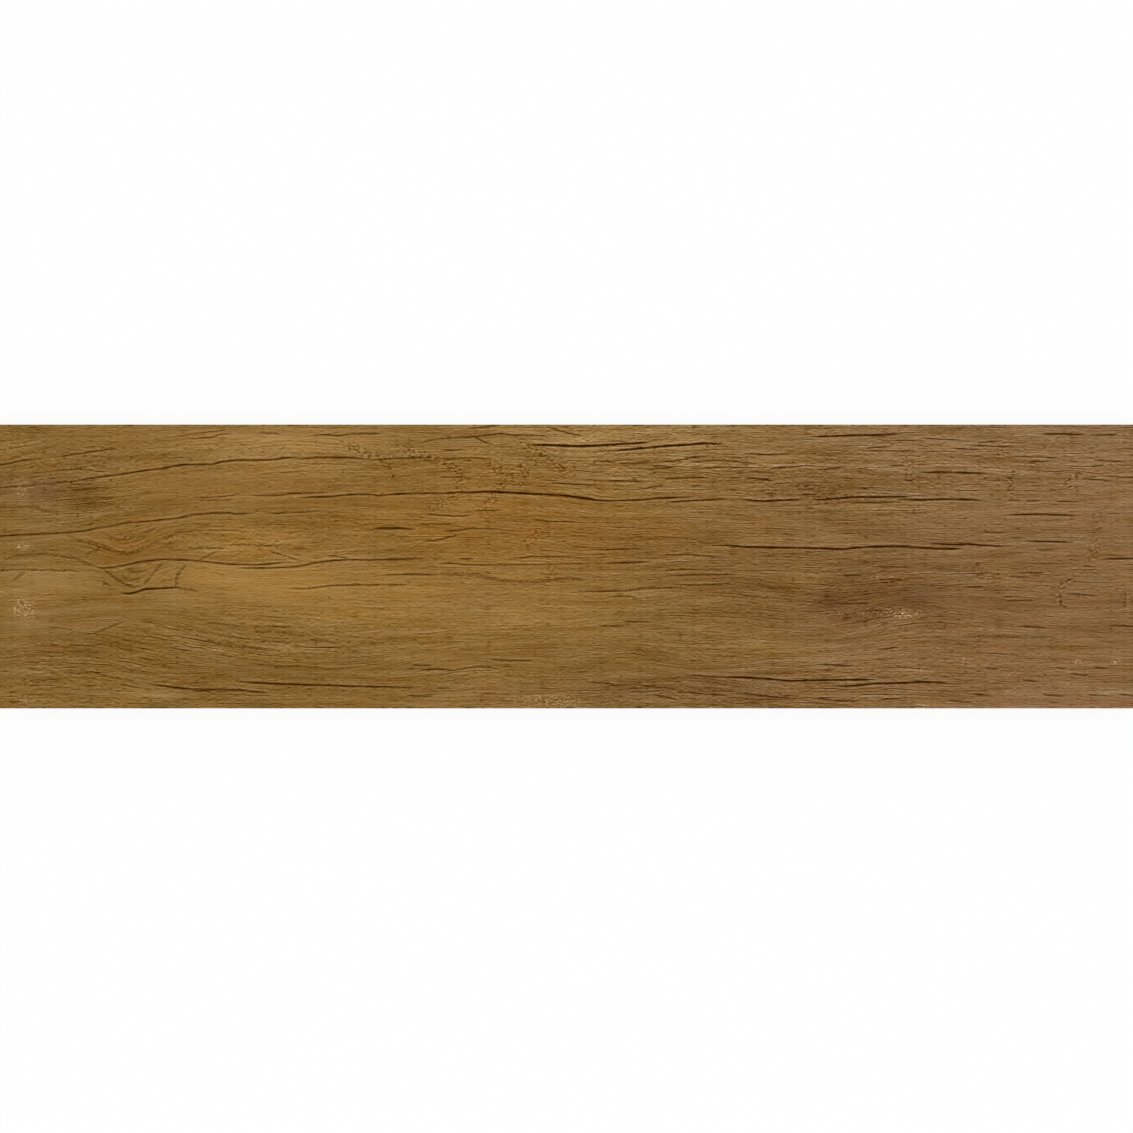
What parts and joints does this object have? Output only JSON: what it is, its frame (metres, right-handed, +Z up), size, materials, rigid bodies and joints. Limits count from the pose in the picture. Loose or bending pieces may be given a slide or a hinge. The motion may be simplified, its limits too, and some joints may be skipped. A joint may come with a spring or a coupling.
{
  "type": "wood-look porcelain plank tile",
  "caption": "Long flat porcelain floor tile with a wood-grain glazed face, ground bevelled edges and a shallow ribbed back that beds in adhesive.",
  "frame": {"origin": "middle of the back, in the plane of the rib tops that the tile rests on", "axes": "+X along the plank, +Y across it, +Z up out of the glazed face"},
  "size_m": [0.6, 0.15, 0.009],
  "materials": {
    "printed_glaze": "matt printed wood-grain glaze on the face; bare fired porcelain on the edges and back"
  },
  "bodies": {
    "root": {"plank_tile": "printed_glaze"}
  },
  "joints": []
}
